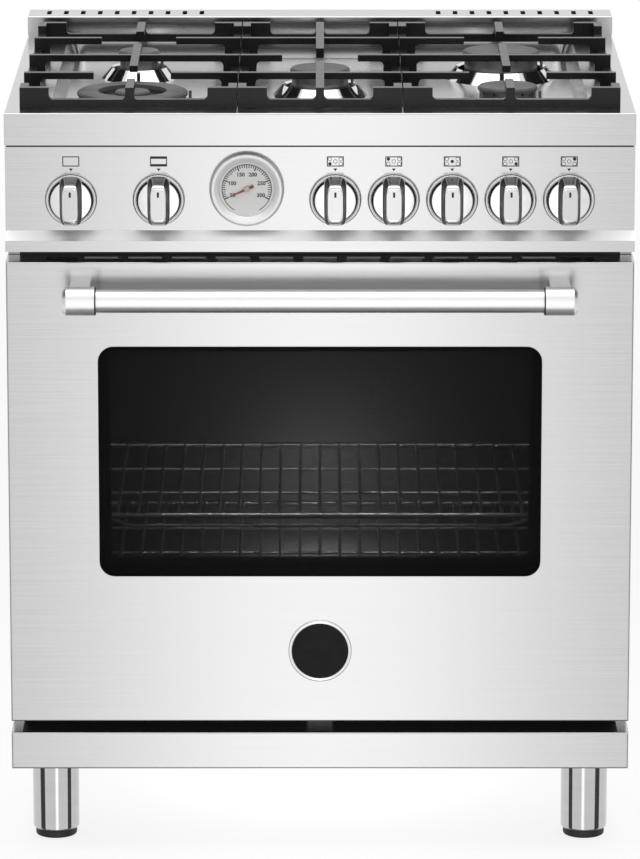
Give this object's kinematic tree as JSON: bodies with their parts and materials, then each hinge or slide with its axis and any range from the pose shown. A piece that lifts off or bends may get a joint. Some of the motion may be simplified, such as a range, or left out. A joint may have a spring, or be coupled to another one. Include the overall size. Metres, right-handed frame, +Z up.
{
  "type": "freestanding gas range",
  "caption": "Freestanding gas cooking range on round legs: cooktop with sealed burners and cast pan supports, knobs and oven thermometer above a drop-down windowed oven door.",
  "frame": {"origin": "on the floor under the middle of the bounding box", "axes": "+X to the right seen from the front, +Y to the rear, +Z up"},
  "size_m": [0.757, 0.7124, 0.947],
  "materials": {
    "brushed_steel": "brushed stainless sheet",
    "polished_steel": "polished",
    "satin_metal": "satin plated",
    "galvanised": "galvanised sheet",
    "black_enamel": "gloss enamel",
    "black_paint": "matt black paint",
    "cast_iron": "matt enamelled casting",
    "burner_alloy": "cast",
    "brass": "machined",
    "dark_glass": "tinted, gloss",
    "clear_glass": "clear, gloss",
    "blanket": "glass fibre",
    "rubber": "moulded",
    "dial_white": "printed",
    "needle_red": "painted",
    "chrome_wire": "plated wire"
  },
  "bodies": {
    "cabinet": {"base_pan": "galvanised", "burner_bases": "burner_alloy", "burner_caps": "cast_iron", "burner_heads": "burner_alloy", "burner_trims": "polished_steel", "control_bodies": "brass", "control_panel": "brushed_steel", "cooktop": "brushed_steel", "door_gasket": "rubber", "front_frame": "black_enamel", "gas_manifold": "galvanised", "gas_tubes": "burner_alloy", "hinge_arms": "galvanised", "kick_panel": "brushed_steel", "knob_bezels": "polished_steel", "legs": "polished_steel", "oven_burners": "burner_alloy", "oven_floor": "black_enamel", "oven_insulation": "blanket", "oven_lamp": "clear_glass", "oven_liner": "black_enamel", "rack_guides": "chrome_wire", "rear_panel": "galvanised", "rear_riser": "brushed_steel", "side_panels": "brushed_steel", "thermometer_case": "polished_steel", "thermometer_dial": "dial_white", "thermometer_lens": "clear_glass", "vent_trim": "black_paint"},
    "door": {"door_skin": "brushed_steel", "door_inner_panel": "black_enamel", "door_outer_glass": "dark_glass", "door_inner_glass": "clear_glass", "handle_bar": "satin_metal", "handle_ends": "satin_metal", "door_emblem": "black_enamel", "door_hinges": "galvanised"},
    "needle": {"thermometer_needle": "needle_red"},
    "stem_oven": {"valve_stem_oven": "brass"},
    "knob_oven": {"knob_oven": "satin_metal"},
    "stem_burner_front_left": {"valve_stem_burner_front_left": "brass"},
    "knob_burner_front_left": {"knob_burner_front_left": "satin_metal"},
    "stem_burner_rear_left": {"valve_stem_burner_rear_left": "brass"},
    "knob_burner_rear_left": {"knob_burner_rear_left": "satin_metal"},
    "stem_burner_center": {"valve_stem_burner_center": "brass"},
    "knob_burner_center": {"knob_burner_center": "satin_metal"},
    "stem_burner_front_right": {"valve_stem_burner_front_right": "brass"},
    "knob_burner_front_right": {"knob_burner_front_right": "satin_metal"},
    "stem_burner_rear_right": {"valve_stem_burner_rear_right": "brass"},
    "knob_burner_rear_right": {"knob_burner_rear_right": "satin_metal"},
    "knob_selector": {"knob_selector": "satin_metal"},
    "grate_left": {"grate_left": "cast_iron"},
    "grate_center": {"grate_center": "cast_iron"},
    "grate_right": {"grate_right": "cast_iron"},
    "rack_upper": {"rack_upper": "chrome_wire"},
    "rack_lower": {"rack_lower": "chrome_wire"},
    "foot_front_left": {"foot_front_left": "rubber"},
    "foot_front_right": {"foot_front_right": "rubber"},
    "foot_rear_left": {"foot_rear_left": "rubber"},
    "foot_rear_right": {"foot_rear_right": "rubber"}
  },
  "joints": [
    {"name": "door_hinge", "type": "hinge", "parent": "cabinet", "child": "door", "pos_m": [0, -0.26585, 0.174], "axis": [1, 0, 0], "range_deg": [0, 90], "stiffness_Nm_per_rad": 15, "springref_deg": -11.46},
    {"name": "needle_turn", "type": "hinge", "parent": "cabinet", "child": "needle", "pos_m": [-0.088, -0.26985, 0.828], "axis": [0, 1, 0], "range_deg": [0, 230], "stiffness_Nm_per_rad": 0.004},
    {"name": "selector_turn", "type": "hinge", "parent": "cabinet", "child": "knob_selector", "pos_m": [-0.2992, -0.26985, 0.8147], "axis": [0, -1, 0], "range_deg": [-90, 90]},
    {"name": "oven_push", "type": "slide", "parent": "cabinet", "child": "stem_oven", "axis": [0, 1, 0], "range_m": [0, 0.003], "stiffness_N_per_m": 800},
    {"name": "oven_turn", "type": "hinge", "parent": "stem_oven", "child": "knob_oven", "pos_m": [-0.1938, -0.26985, 0.8147], "axis": [0, -1, 0], "range_deg": [0, 280]},
    {"name": "burner_front_left_push", "type": "slide", "parent": "cabinet", "child": "stem_burner_front_left", "axis": [0, 1, 0], "range_m": [0, 0.003], "stiffness_N_per_m": 800},
    {"name": "burner_front_left_turn", "type": "hinge", "parent": "stem_burner_front_left", "child": "knob_burner_front_left", "pos_m": [0.0184, -0.26985, 0.8147], "axis": [0, -1, 0], "range_deg": [0, 210]},
    {"name": "burner_rear_left_push", "type": "slide", "parent": "cabinet", "child": "stem_burner_rear_left", "axis": [0, 1, 0], "range_m": [0, 0.003], "stiffness_N_per_m": 800},
    {"name": "burner_rear_left_turn", "type": "hinge", "parent": "stem_burner_rear_left", "child": "knob_burner_rear_left", "pos_m": [0.0886, -0.26985, 0.8147], "axis": [0, -1, 0], "range_deg": [0, 210]},
    {"name": "burner_center_push", "type": "slide", "parent": "cabinet", "child": "stem_burner_center", "axis": [0, 1, 0], "range_m": [0, 0.003], "stiffness_N_per_m": 800},
    {"name": "burner_center_turn", "type": "hinge", "parent": "stem_burner_center", "child": "knob_burner_center", "pos_m": [0.1588, -0.26985, 0.8147], "axis": [0, -1, 0], "range_deg": [0, 210]},
    {"name": "burner_front_right_push", "type": "slide", "parent": "cabinet", "child": "stem_burner_front_right", "axis": [0, 1, 0], "range_m": [0, 0.003], "stiffness_N_per_m": 800},
    {"name": "burner_front_right_turn", "type": "hinge", "parent": "stem_burner_front_right", "child": "knob_burner_front_right", "pos_m": [0.229, -0.26985, 0.8147], "axis": [0, -1, 0], "range_deg": [0, 210]},
    {"name": "burner_rear_right_push", "type": "slide", "parent": "cabinet", "child": "stem_burner_rear_right", "axis": [0, 1, 0], "range_m": [0, 0.003], "stiffness_N_per_m": 800},
    {"name": "burner_rear_right_turn", "type": "hinge", "parent": "stem_burner_rear_right", "child": "knob_burner_rear_right", "pos_m": [0.2992, -0.26985, 0.8147], "axis": [0, -1, 0], "range_deg": [0, 210]},
    {"name": "grate_left_lift", "type": "slide", "parent": "cabinet", "child": "grate_left", "axis": [0, 0, 1], "range_m": [0, 0.15]},
    {"name": "grate_center_lift", "type": "slide", "parent": "cabinet", "child": "grate_center", "axis": [0, 0, 1], "range_m": [0, 0.15]},
    {"name": "grate_right_lift", "type": "slide", "parent": "cabinet", "child": "grate_right", "axis": [0, 0, 1], "range_m": [0, 0.15]},
    {"name": "rack_upper_slide", "type": "slide", "parent": "cabinet", "child": "rack_upper", "axis": [0, -1, 0], "range_m": [0, 0.32]},
    {"name": "rack_lower_slide", "type": "slide", "parent": "cabinet", "child": "rack_lower", "axis": [0, -1, 0], "range_m": [0, 0.32]},
    {"name": "foot_front_left_screw", "type": "slide", "parent": "cabinet", "child": "foot_front_left", "axis": [0, 0, -1], "range_m": [0, 0.025]},
    {"name": "foot_front_right_screw", "type": "slide", "parent": "cabinet", "child": "foot_front_right", "axis": [0, 0, -1], "range_m": [0, 0.025]},
    {"name": "foot_rear_left_screw", "type": "slide", "parent": "cabinet", "child": "foot_rear_left", "axis": [0, 0, -1], "range_m": [0, 0.025]},
    {"name": "foot_rear_right_screw", "type": "slide", "parent": "cabinet", "child": "foot_rear_right", "axis": [0, 0, -1], "range_m": [0, 0.025]}
  ],
  "couplings": [
    {"joint": "rack_upper_slide", "follows": "door_hinge", "m_per_rad": 0.2},
    {"joint": "rack_lower_slide", "follows": "door_hinge", "m_per_rad": 0.2}
  ]
}
